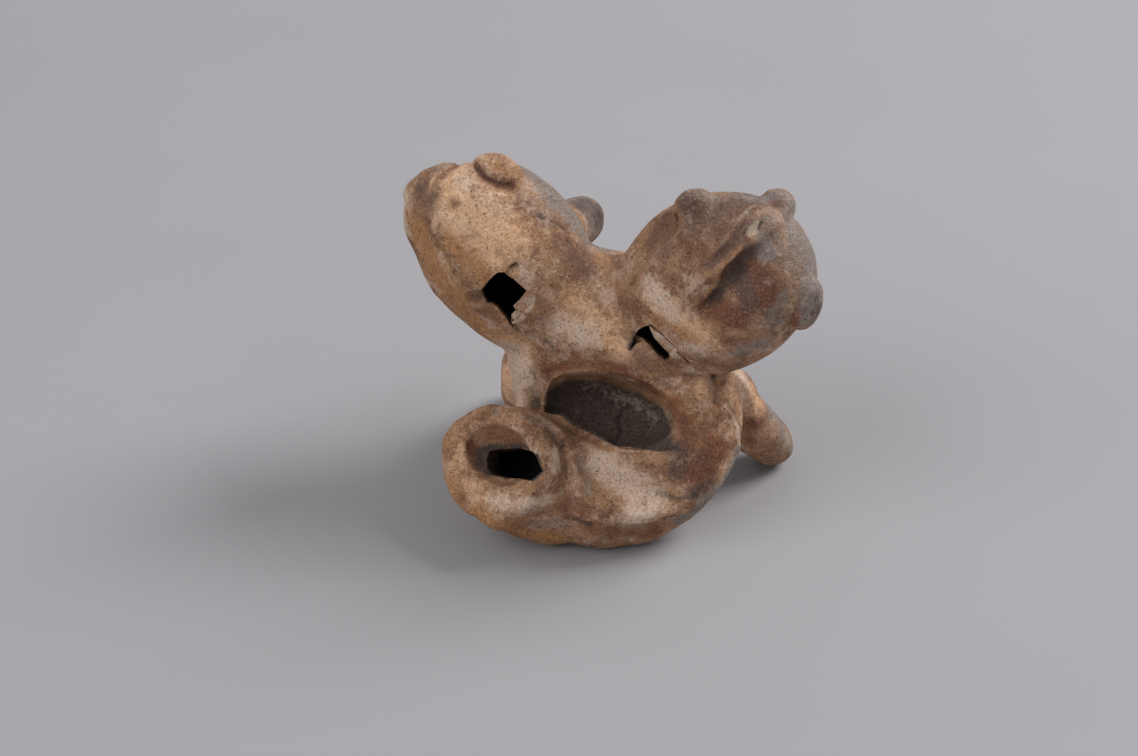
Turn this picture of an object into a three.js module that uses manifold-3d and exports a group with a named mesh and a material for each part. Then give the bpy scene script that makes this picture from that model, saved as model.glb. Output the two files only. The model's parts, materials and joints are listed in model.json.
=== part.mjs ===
// A double pottery whistle: two hollow animal heads rise in a V from one small body.
// Both heads sound together when the curled tail is blown, because its windway forks inside the body.
// Millimetres, +Z up. The whistle leans back on two hind feet and on the belly of its tail.
// +X is the whistle's right side as the player sees it, and +Y points away from the mouthpiece.

import * as THREE from 'three';
import { mergeVertices } from 'three/addons/utils/BufferGeometryUtils.js';
import Module from 'manifold-3d';

const wasm = await Module();
wasm.setup();

// Driving dimensions

// Pieces of clay that were luted together keep this much air between them.
const JOINT_GAP = 0.3;

// The body is an upright egg between and below the heads. It leans back by this many degrees.
const body = { halfWidth: 15.8, halfDepth: 9.8, halfHeight: 14.8, up: 25.4, lean: 6 };

// The rump carries the root of the tail. Its middle is measured from the body's middle.
const rump = { halfWidth: 14, halfDepth: 9, halfHeight: 8.5, out: 1, back: -2.7, up: -11.4 };

// Each head is a hollow egg, flattened from front to back.
const head = { halfLength: 16.6, halfWidth: 13, halfDepth: 10, wall: 3 };

// A head's middle, measured from the body's middle: out to its own side, back and up.
// Its long axis rises outwards by the tilt and turns backwards by the turn, in degrees.
const rightSide = { name: 'right', sign: 1, out: 16.9, back: -0.6, up: 14.2, tilt: 44.5, turn: -3 };
const leftSide = { name: 'left', sign: -1, out: 16.2, back: -1, up: 12.6, tilt: 40, turn: 7 };

// The sounding window of each head, cut square through the front with a knife.
// Its place is a direction from the head's middle: across the head, and along it to its end.
const soundWindow = { length: 6, width: 6, knifeDepth: 5.1, across: -0.04 };
const windowAlong = { right: -0.46, left: -0.33 };

// The window's far lip is shaved on a slope, so that the wall ends in a blade that splits the air.
const blade = { slope: 36, reach: 3.2 };

// Ears are pinched pads on the rim of each head. The left outer one is worn down to a stub.
const ear = { halfLength: 4.4, halfWidth: 2.9, halfHeight: 2.5 };
const wornEar = { halfLength: 6, halfWidth: 3.2, halfHeight: 1.4 };

// An ear's place is a direction from the head's middle, too.
const innerEars = {
  right: { along: 0.42, across: -0.9, deep: 0.14 },
  left: { along: 0.58, across: -0.8, deep: 0.14 },
};
const outerEars = {
  right: { along: 0.72, across: 0.66, deep: 0.2 },
  left: { along: 0.84, across: 0.52, deep: 0.16 },
};

// A thin crest runs from the brow over the end of the head to a knob at the back. The left one is worn low.
// The angles, in degrees, turn from the head's end towards its front.
const crest = { halfWidth: 1.5, browAngle: 78, knobAngle: -36, across: -0.24, taper: 0.08 };
const crestHeights = { right: 1.3, left: 0.8 };
const knob = { halfLength: 2.9, halfWidth: 2.5 };
const knobHeights = { right: 2.5, left: 1.3 };

// The dark hollow that a thumb pressed into the rump, inside the curl of the tail.
// Its middle is measured from the rump's middle, and the thumb came in at this slope, in degrees.
const thumbPit = { halfWidth: 8.7, halfHeight: 5.2, depth: 8.5, out: 3.6, back: -6.9, up: 5.8 };
const thumbSlope = 30;

// The mouthpiece is a stub at the left, and its face is measured out and back from the rump's middle
// and up from the ground. It narrows by the taper from its face to the elbow, where the tail starts to curl.
const mouthpiece = { out: -10, back: -18.9, up: 15.2, halfWidth: 9.1, halfHeight: 9.1, taper: 0.91 };

// From the elbow the tail curls under the thumb pit and up to its root at the right of the rump.
// Each station gives the middle of the tail, measured as the mouthpiece is,
// and its half size towards the pit and across the curl.
const tailStations = [
  { out: -7.9, back: -12.4, up: 10.3, inward: 8.4, across: 8.1 },
  { out: -3.4, back: -12.0, up: 8.7, inward: 8.3, across: 8.0 },
  { out: 2.8, back: -11.3, up: 7.9, inward: 8.3, across: 7.4 },
  { out: 8.8, back: -9.5, up: 8.0, inward: 7.8, across: 6.9 },
  { out: 13.6, back: -4.9, up: 11.0, inward: 6.8, across: 6.6 },
  { out: 15.6, back: -0.5, up: 16.4, inward: 6.4, across: 6.6 },
  { out: 12.2, back: 2.3, up: 22.4, inward: 6.6, across: 7.0 },
];

// A second thumb dent lies on the front of the curl, between its two ridges.
// It is this share of the way along the tail, and its middle is this far from the middle of the tail.
const tailDent = { halfWidth: 11, halfHeight: 5, depth: 3.4, share: 0.53, inward: 0.5, across: 9.2 };

// The mouthpiece ends in a collar of clay round a pressed funnel and a flat slot.
// Both lie a little off the collar's middle, to the right and up its face,
// and both are drawn from a little way outside it, so that they break its face cleanly.
const collarLength = 2.8;
const funnel = { halfWidth: 5.3, halfHeight: 3.8, depth: 3.8, right: 0.4, up: 1.2, out: 0.5 };
const slot = { width: 8.4, height: 4.2, length: 8, right: 1.8, up: 0, out: 1 };

// The windway runs along the tail to a fork, whose place is measured from the body's middle.
const windwayRadius = 2;
const fork = { out: 1.5, back: -2.2, up: 1.2 };

// A flat duct leads from the fork to each window, under this much of the head's wall.
const duct = { width: 4.4, height: 1.8, cover: 1.5, intoWindow: 1.5 };

// Feet are short pinched cones. The soles of the hind feet are worn flat by this much.
const hindFoot = { rootRadius: 5, tipRadius: 3.7, wear: 0.4 };
const frontFoot = { rootRadius: 4.2, tipRadius: 3.3 };

// A hind foot runs from its root to its sole, both measured from the rump's middle.
const hindFeet = {
  right: { root: [16.8, 7, 2.5], sole: [22, 17.1] },
  left: { root: [-14, 6.5, 2.5], sole: [-20.6, 17.1] },
};

// A front foot points straight back from the shoulder. Both ends are measured from the body's middle.
const frontFeet = {
  right: { root: [13, 6.3, 11.6], tip: [13, 23.4, 6.2] },
  left: { root: [-13, 6.3, 11.6], tip: [-13, 23.4, 6.2] },
};

// Facets round a full turn and along a piece
const facets = {
  skin: { round: 28, along: 18 },
  hollow: { round: 20, along: 12 },
  pad: { round: 14, along: 9 },
  crest: { round: 8, along: 12 },
  tail: { round: 24, along: 18 },
  windway: { round: 8, along: 22 },
};

// Places

const bodyMiddle = new THREE.Vector3(0, 0, body.up);
const rumpMiddle = bodyMiddle.clone().add(new THREE.Vector3(rump.out, rump.back, rump.up));
const pitMiddle = rumpMiddle.clone().add(new THREE.Vector3(thumbPit.out, thumbPit.back, thumbPit.up));
const forkPoint = bodyMiddle.clone().add(new THREE.Vector3(fork.out, fork.back, fork.up));

function frameOf(origin, xAxis, yAxis) {
  const x = xAxis.clone().normalize();
  const z = x.clone().cross(yAxis).normalize();
  const y = z.clone().cross(x);
  return new THREE.Matrix4().makeBasis(x, y, z).setPosition(origin);
}

// A frame whose x stays level to the right, and whose y leans back from upright.
function leaningFrame(origin, lean) {
  const turn = THREE.MathUtils.degToRad(lean);
  return frameOf(origin, new THREE.Vector3(1, 0, 0), new THREE.Vector3(0, Math.sin(turn), Math.cos(turn)));
}

function moved(frame, x, y, z) {
  return frame.clone().multiply(new THREE.Matrix4().makeTranslation(x, y, z));
}

// Solids

function solidOf(geometry) {
  geometry.deleteAttribute('normal');
  geometry.deleteAttribute('uv');
  const merged = mergeVertices(geometry, 1e-4);
  const vertProperties = new Float32Array(merged.attributes.position.array);
  const triVerts = new Uint32Array(merged.index.array);
  return new wasm.Manifold(new wasm.Mesh({ numProp: 3, vertProperties, triVerts }));
}

function geometryOf(solid) {
  const { vertProperties, triVerts } = solid.getMesh();
  const geometry = new THREE.BufferGeometry();
  geometry.setAttribute('position', new THREE.BufferAttribute(vertProperties, 3));
  geometry.setIndex(new THREE.BufferAttribute(triVerts, 1));
  geometry.computeVertexNormals();
  return geometry;
}

// Both heads are drawn on the right. The left one's solids are flipped across the middle plane.
function onSide(side, solid) {
  if (side.sign > 0) return solid;
  const { vertProperties, triVerts } = solid.getMesh();
  for (let k = 0; k < vertProperties.length; k += 3) {
    vertProperties[k] *= -1;
  }
  for (let k = 0; k < triVerts.length; k += 3) {
    [triVerts[k], triVerts[k + 1]] = [triVerts[k + 1], triVerts[k]];
  }
  return new wasm.Manifold(new wasm.Mesh({ numProp: 3, vertProperties, triVerts }));
}

// An egg with half sizes along its frame's own axes. A positive grow adds a skin, and a negative one takes it off.
function egg(frame, halfX, halfY, halfZ, { grow = 0, facet = facets.skin } = {}) {
  const geometry = new THREE.SphereGeometry(1, facet.round, facet.along);
  geometry.scale(halfX + grow, halfY + grow, halfZ + grow);
  geometry.applyMatrix4(frame);
  return solidOf(geometry);
}

function block(frame, width, height, depth) {
  const geometry = new THREE.BoxGeometry(width, height, depth);
  geometry.applyMatrix4(frame);
  return solidOf(geometry);
}

// A place on a curve, with the side that faces a given point and the side across it.
function curveFrame(curve, share, facing) {
  const middle = curve.getPoint(share);
  const tangent = curve.getTangent(share);
  const inward = facing.clone().sub(middle);
  inward.addScaledVector(tangent, -inward.dot(tangent)).normalize();
  return { middle, inward, across: tangent.clone().cross(inward) };
}

// A sausage of clay: a cylinder whose rings are carried along a curve.
function bentSausage(curve, sizeAt, facing, facet) {
  const geometry = new THREE.CylinderGeometry(1, 1, 1, facet.round, facet.along);
  const positions = geometry.attributes.position;
  const onRing = new THREE.Vector3();
  for (let k = 0; k < positions.count; k += 1) {
    onRing.fromBufferAttribute(positions, k);
    const share = 0.5 - onRing.y;
    const { middle, inward, across } = curveFrame(curve, share, facing);
    const size = sizeAt(share);
    middle.addScaledVector(inward, onRing.x * size.inward);
    middle.addScaledVector(across, onRing.z * size.across);
    positions.setXYZ(k, middle.x, middle.y, middle.z);
  }
  return solidOf(geometry);
}

// A cone of clay with round ends, from its root to its tip.
function pinchedCone(root, tip, rootRadius, tipRadius) {
  const profile = new THREE.Path();
  profile.absarc(0, 0, rootRadius, -Math.PI / 2, 0, false);
  profile.absarc(0, root.distanceTo(tip), tipRadius, 0, Math.PI / 2, false);
  const stepsPerArc = 6;
  const points = profile.getPoints(stepsPerArc);
  points.at(0).x = 0;
  points.at(-1).x = 0;
  const geometry = new THREE.LatheGeometry(points, facets.pad.round);
  const direction = tip.clone().sub(root).normalize();
  geometry.applyQuaternion(new THREE.Quaternion().setFromUnitVectors(new THREE.Vector3(0, 1, 0), direction));
  geometry.translate(root.x, root.y, root.z);
  return solidOf(geometry);
}

// Heads

// A head's frame: x runs out across the head, y along it to its end, and z out of its front.
function headFrame(side) {
  const tilt = THREE.MathUtils.degToRad(side.tilt);
  const turn = THREE.MathUtils.degToRad(side.turn);
  const along = new THREE.Vector3(
    Math.cos(tilt) * Math.cos(turn), Math.cos(tilt) * Math.sin(turn), Math.sin(tilt));
  const across = along.clone().cross(new THREE.Vector3(0, -1, 0));
  const middle = bodyMiddle.clone().add(new THREE.Vector3(side.out, side.back, side.up));
  return frameOf(middle, across, along);
}

function headEgg(side, options) {
  return onSide(side, egg(headFrame(side), head.halfWidth, head.halfLength, head.halfDepth, options));
}

// A place on a head's surface, with its outward normal, from a direction in the head's own frame.
function onHead(side, { across, along, deep }) {
  const half = new THREE.Vector3(head.halfWidth, head.halfLength, head.halfDepth);
  const direction = new THREE.Vector3(across, along, deep).normalize();
  const frame = headFrame(side);
  const point = direction.clone().multiply(half).applyMatrix4(frame);
  const normal = direction.clone().divide(half).transformDirection(frame);
  return { point, normal };
}

// The window's frame lies in the front of the head: x points along the head to the blade, and y into the hollow.
function windowFrame(side) {
  const { across } = soundWindow;
  const along = windowAlong[side.name];
  const { point } = onHead(side, { across, along, deep: Math.sqrt(1 - along ** 2 - across ** 2) });
  const toBlade = new THREE.Vector3().setFromMatrixColumn(headFrame(side), 1).setY(0);
  return frameOf(point, toBlade, new THREE.Vector3(0, 1, 0));
}

// The knife cut, and the slope that was shaved off the wall from the blade's edge outwards.
function windowCutter(side) {
  const frame = windowFrame(side);
  const cut = block(frame, soundWindow.length, 2 * soundWindow.knifeDepth, soundWindow.width);
  const slope = new THREE.Matrix4().makeRotationZ(-THREE.MathUtils.degToRad(blade.slope));
  const lip = moved(frame, soundWindow.length / 2, head.wall, 0).multiply(slope);
  const shaving = block(moved(lip, blade.reach / 2, -head.wall, 0),
    blade.reach * 2, head.wall * 2, soundWindow.width);
  return onSide(side, cut.add(shaving));
}

// The duct runs just under the surface of the head and opens in the near wall of the window.
function ductCutter(side) {
  const frame = windowFrame(side);
  const nearWall = -soundWindow.length / 2;
  const end = new THREE.Vector3(nearWall + duct.intoWindow, duct.cover + duct.height / 2, 0).applyMatrix4(frame);
  const start = forkPoint.clone().multiply(new THREE.Vector3(side.sign, 1, 1));
  const width = new THREE.Vector3().setFromMatrixColumn(frame, 2);
  const channel = block(frameOf(start.clone().lerp(end, 0.5), end.clone().sub(start), width),
    start.distanceTo(end), duct.width, duct.height);
  return onSide(side, channel);
}

function chamber(side) {
  return headEgg(side).subtract(headEgg(side, { grow: -head.wall, facet: facets.hollow }))
    .subtract(windowCutter(side)).subtract(ductCutter(side));
}

// An ear is pinched along the rim of the head.
function earPad(side, place, size) {
  const { point, normal } = onHead(side, place);
  const alongRim = normal.clone().cross(new THREE.Vector3(0, -1, 0));
  const pad = egg(frameOf(point, alongRim, normal), size.halfLength, size.halfHeight, size.halfWidth,
    { facet: facets.pad });
  return onSide(side, pad);
}

// The crest's path goes over the end of the head, from the front to the back.
function crestPlace(angle) {
  const turn = THREE.MathUtils.degToRad(angle);
  return { across: crest.across, along: Math.cos(turn), deep: Math.sin(turn) };
}

function crestRidge(side) {
  const steps = 9;
  const points = [];
  for (let k = 0; k <= steps; k += 1) {
    const angle = THREE.MathUtils.lerp(crest.browAngle, crest.knobAngle, k / steps);
    points.push(onHead(side, crestPlace(angle)).point);
  }
  const middle = new THREE.Vector3().setFromMatrixPosition(headFrame(side));
  const sizeAt = share => {
    const swell = Math.sqrt(Math.sin(Math.PI * THREE.MathUtils.lerp(crest.taper, 1 - crest.taper, share)));
    return { inward: crestHeights[side.name] * swell, across: crest.halfWidth * swell };
  };
  return onSide(side, bentSausage(new THREE.CatmullRomCurve3(points), sizeAt, middle, facets.crest));
}

function crestKnob(side, grow = 0) {
  const { point, normal } = onHead(side, crestPlace(crest.knobAngle));
  const across = new THREE.Vector3().setFromMatrixColumn(headFrame(side), 0);
  const pad = egg(frameOf(point, across, normal), knob.halfWidth, knobHeights[side.name], knob.halfLength,
    { grow, facet: facets.pad });
  return onSide(side, pad);
}

// Body and tail

function bodyMass(grow = 0) {
  return egg(leaningFrame(bodyMiddle, body.lean), body.halfWidth, body.halfHeight, body.halfDepth, { grow })
    .add(egg(leaningFrame(rumpMiddle, 0), rump.halfWidth, rump.halfHeight, rump.halfDepth, { grow }));
}

function thumbDent(middle, { halfWidth, halfHeight, depth }) {
  return egg(leaningFrame(middle, thumbSlope), halfWidth, halfHeight, depth, { facet: facets.pad });
}

function fromRump({ out, back, up }) {
  return new THREE.Vector3(rumpMiddle.x + out, rumpMiddle.y + back, up);
}

const mouthPoint = fromRump(mouthpiece);
const tailPoints = tailStations.map(fromRump);
const tailCurve = new THREE.CatmullRomCurve3(tailPoints);

function tailSizeAt(share, grow = 0) {
  const place = THREE.MathUtils.clamp(share, 0, 1) * (tailStations.length - 1);
  const first = Math.min(Math.floor(place), tailStations.length - 2);
  const [from, to] = [tailStations[first], tailStations[first + 1]];
  return {
    inward: THREE.MathUtils.lerp(from.inward, to.inward, place - first) + grow,
    across: THREE.MathUtils.lerp(from.across, to.across, place - first) + grow,
  };
}

function tailCurl(grow = 0) {
  return bentSausage(tailCurve, share => tailSizeAt(share, grow), pitMiddle, facets.tail);
}

// The mouth's frame: x level across the mouth, y up its face, and z out of it.
function mouthFrame() {
  const outwards = mouthPoint.clone().sub(tailPoints[0]);
  const across = new THREE.Vector3(0, 0, 1).cross(outwards);
  return frameOf(mouthPoint, across, outwards.clone().cross(across));
}

// The stub from the mouth's face to the elbow, which is rounded by a ball of clay.
function mouthStub() {
  const length = mouthPoint.distanceTo(tailPoints[0]);
  const { halfWidth, halfHeight, taper } = mouthpiece;
  const geometry = new THREE.CylinderGeometry(1, taper, length, facets.tail.round);
  geometry.rotateX(Math.PI / 2);
  geometry.scale(halfWidth, halfHeight, 1);
  geometry.applyMatrix4(moved(mouthFrame(), 0, 0, -length / 2));
  const ball = egg(moved(mouthFrame(), 0, 0, -length), halfWidth * taper, halfHeight * taper, halfWidth * taper,
    { facet: facets.hollow });
  return solidOf(geometry).add(ball);
}

// A slab across the mouthpiece, from outside its face to this far behind it
function mouthSlab(thickness) {
  const span = 3 * mouthpiece.halfHeight;
  return block(mouthFrame(), span, span, 2 * thickness);
}

function tailDentCutter() {
  const { middle, inward, across } = curveFrame(tailCurve, tailDent.share, pitMiddle);
  middle.addScaledVector(inward, tailDent.inward).addScaledVector(across, tailDent.across);
  return thumbDent(middle, tailDent);
}

function mouthCutter() {
  const press = moved(mouthFrame(), funnel.right, funnel.up, funnel.out);
  const length = slot.length + slot.out;
  const inside = moved(mouthFrame(), slot.right, slot.up, slot.out - length / 2);
  return egg(press, funnel.halfWidth, funnel.halfHeight, funnel.depth, { facet: facets.pad })
    .add(block(inside, slot.width, slot.height, length));
}

// The windway starts a third of the way down the slot.
function windwayCutter() {
  const start = new THREE.Vector3(slot.right, slot.up, -slot.length / 3).applyMatrix4(mouthFrame());
  const path = new THREE.CatmullRomCurve3([start, ...tailPoints, forkPoint]);
  const sizeAt = () => ({ inward: windwayRadius, across: windwayRadius });
  return bentSausage(path, sizeAt, pitMiddle, facets.windway);
}

// Feet

function hindFootCone({ root, sole }) {
  const tip = new THREE.Vector3(rumpMiddle.x + sole[0], rumpMiddle.y + sole[1], hindFoot.tipRadius - hindFoot.wear);
  return pinchedCone(rumpMiddle.clone().add(new THREE.Vector3(...root)), tip,
    hindFoot.rootRadius, hindFoot.tipRadius);
}

function frontFootCone({ root, tip }) {
  return pinchedCone(bodyMiddle.clone().add(new THREE.Vector3(...root)),
    bodyMiddle.clone().add(new THREE.Vector3(...tip)), frontFoot.rootRadius, frontFoot.tipRadius);
}

// Pieces

const clay = { buff: '#b58f66', brown: '#8d7263', pale: '#ab8f74', grey: '#7d7d72' };
const group = new THREE.Group();

function addPiece(name, solid, color) {
  const material = new THREE.MeshStandardMaterial({ color, roughness: 0.9, metalness: 0 });
  const mesh = new THREE.Mesh(geometryOf(solid), material);
  mesh.name = name;
  group.add(mesh);
}

const groundSize = 200;
const ground = block(new THREE.Matrix4().makeTranslation(0, 0, -groundSize / 2), groundSize, groundSize, groundSize);
const sides = [leftSide, rightSide];
const headsGrown = sides.map(side => headEgg(side, { grow: JOINT_GAP }));
const bothHeadsGrown = headsGrown[0].add(headsGrown[1]);
const bodyGrown = bodyMass(JOINT_GAP);
const curlGrown = tailCurl(JOINT_GAP);
const windway = windwayCutter();
const pit = thumbDent(pitMiddle, thumbPit);

for (const side of sides) {
  addPiece(`${side.name}_chamber`, chamber(side), side === rightSide ? clay.brown : clay.buff);
}

const bodyBlock = bodyMass().subtract(bothHeadsGrown).subtract(pit).subtract(windway)
  .subtract(ductCutter(leftSide)).subtract(ductCutter(rightSide))
  .subtract(windowCutter(leftSide)).subtract(windowCutter(rightSide));
addPiece('body', bodyBlock, clay.pale);

const tail = tailCurl().add(mouthStub()).subtract(mouthSlab(collarLength + JOINT_GAP)).subtract(mouthCutter())
  .subtract(bodyGrown).subtract(bothHeadsGrown).subtract(pit).subtract(tailDentCutter())
  .subtract(windway).subtract(ground);
addPiece('tail', tail, clay.pale);
const collar = mouthStub().intersect(mouthSlab(collarLength)).subtract(mouthCutter());
addPiece('mouth_collar', collar, clay.buff);

sides.forEach((side, k) => {
  const grown = headsGrown[k];
  addPiece(`${side.name}_inner_ear`, earPad(side, innerEars[side.name], ear).subtract(grown), clay.brown);
  const outerSize = side === leftSide ? wornEar : ear;
  addPiece(`${side.name}_outer_ear`, earPad(side, outerEars[side.name], outerSize).subtract(grown), clay.brown);
  addPiece(`${side.name}_crest`, crestRidge(side).subtract(grown).subtract(crestKnob(side, JOINT_GAP)), clay.brown);
  addPiece(`${side.name}_crest_knob`, crestKnob(side).subtract(grown), clay.brown);
  const hind = hindFootCone(hindFeet[side.name]).subtract(bodyGrown).subtract(curlGrown).subtract(grown)
    .subtract(ground);
  addPiece(`hind_${side.name}_foot`, hind, clay.pale);
  const front = frontFootCone(frontFeet[side.name]).subtract(grown).subtract(bodyGrown);
  addPiece(`front_${side.name}_foot`, front, clay.grey);
});

// The origin lies on the ground, under the middle of the whistle.
const bounds = new THREE.Box3().setFromObject(group);
const middle = bounds.getCenter(new THREE.Vector3());
group.position.set(-middle.x, -middle.y, -bounds.min.z);

export default group;
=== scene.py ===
# %% [markdown]
# # A double pottery whistle
#
# A small whistle of fired clay: two hollow animal heads stand in a V on one body, and the player blows
# through the curled tail. A potter rolls lumps of clay, presses them together, wets and smooths the joints,
# and then works with a thumb, a stick and a knife. This script follows the same order: lumps, joints, strokes
# of the fingers, knife cuts, and last the colours that the fire and the years have left, with painted shade
# and painted light among them.

import json
import math

import bmesh
import bpy
import numpy as np
from mathutils import Matrix, Vector, noise
from mathutils.bvhtree import BVHTree
from mathutils.kdtree import KDTree


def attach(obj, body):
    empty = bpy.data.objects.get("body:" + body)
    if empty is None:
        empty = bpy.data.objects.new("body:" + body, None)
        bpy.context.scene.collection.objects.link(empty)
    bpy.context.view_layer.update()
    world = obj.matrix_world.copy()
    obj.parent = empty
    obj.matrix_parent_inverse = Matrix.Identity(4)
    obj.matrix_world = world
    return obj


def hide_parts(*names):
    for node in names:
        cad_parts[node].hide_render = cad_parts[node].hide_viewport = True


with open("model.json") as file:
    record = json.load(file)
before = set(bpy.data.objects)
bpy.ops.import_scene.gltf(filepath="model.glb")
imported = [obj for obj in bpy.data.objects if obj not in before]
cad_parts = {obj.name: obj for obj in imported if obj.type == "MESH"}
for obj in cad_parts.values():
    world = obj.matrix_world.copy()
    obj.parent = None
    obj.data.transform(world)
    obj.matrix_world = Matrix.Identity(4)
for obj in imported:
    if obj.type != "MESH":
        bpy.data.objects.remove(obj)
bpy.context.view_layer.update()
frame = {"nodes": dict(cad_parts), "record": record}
MM = 0.001
print("frame nodes:", len(frame["nodes"]))

# %% [markdown]
# ## The camera
#
# The camera comes first, because marks on the clay are placed where the photograph shows them. A pixel of the
# photograph gives a ray from the camera, and the mark goes where that ray first meets the clay.

# %% The camera of the photograph
PHOTO_WIDTH, PHOTO_HEIGHT = 1138, 756
LENS, SENSOR = 66.5, 36.0
CAMERA_PLACE = Vector((95.7, -252.56, 192.6)) * MM
LOOK_TURN, LOOK_DOWN = math.radians(22), math.radians(32.66)


def placed(name, data):
    """A new object of the scene that holds the data."""
    thing = bpy.data.objects.new(name, data)
    bpy.context.scene.collection.objects.link(thing)
    return thing


camera_data = bpy.data.cameras.new("camera")
camera_data.lens, camera_data.sensor_width = LENS, SENSOR
camera = placed("camera", camera_data)
camera.location = CAMERA_PLACE
camera.rotation_euler = (math.pi / 2 - LOOK_DOWN, 0, LOOK_TURN)
bpy.context.scene.camera = camera

turned = camera.rotation_euler.to_matrix()
RIGHT, UP, FORWARD = turned.col[0].copy(), turned.col[1].copy(), -turned.col[2]
FOCAL = LENS / SENSOR * PHOTO_WIDTH


def ray(x, y):
    """The direction from the camera through a pixel of the photograph."""
    towards = FORWARD * FOCAL + RIGHT * (x - PHOTO_WIDTH / 2) + UP * (PHOTO_HEIGHT / 2 - y)
    return towards.normalized()


print("camera looks along", [round(c, 3) for c in FORWARD])

# %% [markdown]
# ## Lumps of clay
#
# Each big lump starts as the hull of its solid in the frame. A hull has no holes, so the windows, the windway
# and the hollows are filled for now, and they are cut afresh once the outside is smooth.

# %% Helpers for lumps
WELD = 0.005 * MM


def corners_of(node):
    return [vert.co.copy() for vert in frame["nodes"][node].data.vertices]


def grown(lump, grow):
    """The lump with its skin moved out."""
    lump.normal_update()
    for vert in lump.verts:
        vert.co += vert.normal * grow
    return lump


def hull(points, grow):
    """A closed convex lump round the points, with its skin moved out by grow."""
    lump = bmesh.new()
    for point in points:
        lump.verts.new(point)
    bmesh.ops.convex_hull(lump, input=lump.verts)
    stray = [vert for vert in lump.verts if not vert.link_faces]
    bmesh.ops.delete(lump, geom=stray, context="VERTS")
    bmesh.ops.recalc_face_normals(lump, faces=lump.faces)
    return grown(lump, grow)


def copy_of(node, grow=0.0):
    """The node's own solid as a lump, merged first, because a node is loose triangles."""
    lump = bmesh.new()
    lump.from_mesh(frame["nodes"][node].data)
    bmesh.ops.remove_doubles(lump, verts=lump.verts, dist=WELD)
    return grown(lump, grow)


def object_of(name, lumps):
    """One object that holds all the lumps, which may overlap."""
    mesh = bpy.data.meshes.new(name)
    joined = bmesh.new()
    for lump in lumps:
        part = bpy.data.meshes.new("part")
        lump.to_mesh(part)
        lump.free()
        joined.from_mesh(part)
        bpy.data.meshes.remove(part)
    joined.to_mesh(mesh)
    joined.free()
    return placed(name, mesh)


def removed(thing):
    mesh = thing.data
    bpy.data.objects.remove(thing)
    bpy.data.meshes.remove(mesh)


def settle(thing):
    """Applies the object's modifiers for good."""
    depsgraph = bpy.context.evaluated_depsgraph_get()
    old = thing.data
    thing.data = bpy.data.meshes.new_from_object(thing.evaluated_get(depsgraph))
    thing.modifiers.clear()
    bpy.data.meshes.remove(old)
    return thing


def knead(thing, voxel, passes):
    """Presses overlapping lumps into one skin of even mesh, and smooths it with so many passes."""
    remesh = thing.modifiers.new("press", "REMESH")
    remesh.mode = "VOXEL"
    remesh.voxel_size = voxel
    if passes:
        smooth = thing.modifiers.new("smooth", "SMOOTH")
        smooth.factor, smooth.iterations = 0.5, passes
    return settle(thing)


def carve(thing, cutter, operation="DIFFERENCE"):
    """Cuts one closed object with another."""
    boolean = thing.modifiers.new("cut", "BOOLEAN")
    boolean.operation, boolean.solver, boolean.object = operation, "MANIFOLD", cutter
    return settle(thing)


# %% [markdown]
# The tail curls round the thumb pit, so it is cut like a cake by planes through the pit's axis, and each
# slice gets a hull of its own. Slices of a curl are nearly convex, so their hulls keep the curl's form.

# %% The curl of the tail in slices
PIT = Vector((4.0, -9.3, 19.8)) * MM
PIT_SLOPE = math.radians(30)
PIT_SIDE = Vector((1, 0, 0))
PIT_UP = Vector((0, math.sin(PIT_SLOPE), math.cos(PIT_SLOPE)))
SLICES = [165, 236, 254, 272, 290, 308, 326, 344, 362, 385, 430]


def slice_normal(degrees):
    turn = math.radians(degrees)
    return PIT_UP * math.cos(turn) - PIT_SIDE * math.sin(turn)


def tail_slice(first, last, grow):
    piece = copy_of("tail")
    for degrees, side in ((first, -1), (last, 1)):
        everything = piece.verts[:] + piece.edges[:] + piece.faces[:]
        bmesh.ops.bisect_plane(
            piece, geom=everything, plane_co=PIT, plane_no=slice_normal(degrees) * side, clear_outer=True)
    points = [vert.co.copy() for vert in piece.verts]
    piece.free()
    return hull(points, grow)


def tail_lumps(grow):
    return [tail_slice(first, last, grow) for first, last in zip(SLICES, SLICES[1:])]


print("tail slices:", len(SLICES) - 1)

# %% [markdown]
# Where two lumps meet, a wet finger smooths the joint into a soft saddle. Here the lumps are grown a little
# so that they touch, pressed into one skin by a voxel remesh, and smoothed. Smoothing shrinks what is small,
# so the ears, crests and knobs wait until the large forms are done.

# %% The large forms
COARSE = 0.6 * MM
FINE = 0.3 * MM
CLOSE = 0.25 * MM
JOINT_PASSES, LIGHT_PASSES = 30, 14
WORN_STUB = -0.3 * MM

# Feet are slim and would lose too much in the smoothing, so they are grown more, and moved a little (mm).
FEET = {
    "hind_left_foot": (0.6, (0, 0, 0)), "hind_right_foot": (0.45, (-0.1, 0, 0.8)),
    "front_left_foot": (0.8, (-0.2, 0, 0.6)), "front_right_foot": (0.8, (0, 0, 0.6)),
}


def foot(name, more=0.0):
    grow, step = FEET[name]
    return hull([point + Vector(step) * MM for point in corners_of(name)], (grow + more) * MM)


def turned_to(side, up, out):
    """The turn whose columns are these three directions."""
    return Matrix((side, up, out)).transposed().to_4x4()


def egg(middle, half_sizes, turn):
    """An egg with half sizes along the three directions of a turn, in mm."""
    lump = bmesh.new()
    bmesh.ops.create_icosphere(lump, subdivisions=4, radius=1)
    size = Matrix.Diagonal((*(half * MM for half in half_sizes), 1))
    bmesh.ops.transform(lump, matrix=Matrix.Translation(middle) @ turn @ size, verts=lump.verts)
    return lump


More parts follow.
